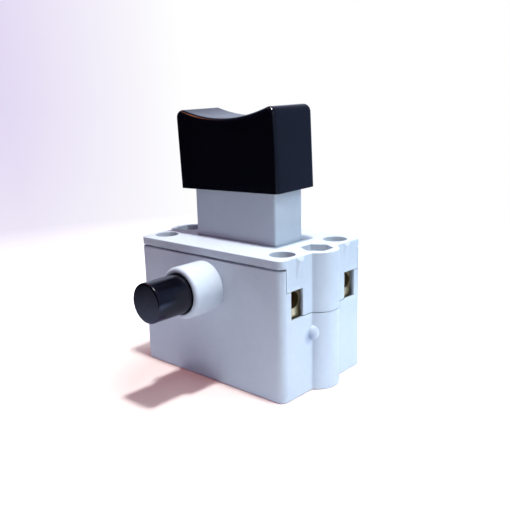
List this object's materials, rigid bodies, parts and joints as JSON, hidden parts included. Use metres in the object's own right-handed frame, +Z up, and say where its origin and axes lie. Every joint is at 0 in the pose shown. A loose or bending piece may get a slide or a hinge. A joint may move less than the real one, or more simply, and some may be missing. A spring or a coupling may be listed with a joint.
{
  "type": "power tool trigger switch",
  "caption": "Trigger switch for a hand-held power tool: grey housing, black saddle-shaped finger pad on a sliding stem, and a round black lock button in a collar.",
  "frame": {"origin": "centre of the housing's bottom face", "axes": "+X towards the right-hand terminal end, -Y towards the lock button, +Z up towards the finger pad"},
  "size_m": [0.0458, 0.0424, 0.0564],
  "materials": {
    "housing_grey": "fine satin moulded plastic, light grey",
    "gloss_black": "polished moulded plastic, black",
    "clamp_brass": "machined, dull",
    "contact_brass": "stamped strip",
    "plated_steel": "zinc plated",
    "spring_steel": "drawn wire",
    "silver_contact": "silver alloy rivet faces"
  },
  "bodies": {
    "housing": {"housing_base": "housing_grey", "housing_cover": "housing_grey", "case_screws": "plated_steel", "case_nuts": "plated_steel", "terminal_screws": "plated_steel", "fixed_contact_tips": "silver_contact", "terminal_clamp_front_left": "clamp_brass", "terminal_clamp_front_right": "clamp_brass", "terminal_clamp_rear_left": "clamp_brass", "terminal_clamp_rear_right": "clamp_brass", "fixed_contact_front_left": "contact_brass", "fixed_contact_front_right": "contact_brass", "fixed_contact_rear_left": "contact_brass", "fixed_contact_rear_right": "contact_brass"},
    "trigger": {"trigger_plunger": "housing_grey", "trigger_cap": "gloss_black", "return_spring": "spring_steel"},
    "front_bridge": {"contact_bridge_front": "contact_brass", "bridge_tips_front": "silver_contact", "bridge_spring_front": "spring_steel"},
    "rear_bridge": {"contact_bridge_rear": "contact_brass", "bridge_tips_rear": "silver_contact", "bridge_spring_rear": "spring_steel"},
    "lock": {"lock_button": "gloss_black", "lock_shaft": "plated_steel", "lock_clip": "spring_steel", "lock_spring": "spring_steel"}
  },
  "joints": [
    {"name": "trigger_press", "type": "slide", "parent": "housing", "child": "trigger", "axis": [0, 0, -1], "range_m": [0, 0.006], "stiffness_N_per_m": 450, "springref_m": -0.005, "deforming": ["return_spring"]},
    {"name": "front_bridge_lift", "type": "slide", "parent": "trigger", "child": "front_bridge", "axis": [0, 0, 1], "range_m": [0, 0.0031], "deforming": ["bridge_spring_front"]},
    {"name": "rear_bridge_lift", "type": "slide", "parent": "trigger", "child": "rear_bridge", "axis": [0, 0, 1], "range_m": [0, 0.0031], "deforming": ["bridge_spring_rear"]},
    {"name": "lock_press", "type": "slide", "parent": "housing", "child": "lock", "axis": [0, 1, 0], "range_m": [0, 0.004], "stiffness_N_per_m": 250, "springref_m": -0.004, "deforming": ["lock_spring"]}
  ],
  "couplings": [
    {"joint": "front_bridge_lift", "follows": "trigger_press", "ratio": 0.5},
    {"joint": "rear_bridge_lift", "follows": "trigger_press", "ratio": 0.5}
  ]
}
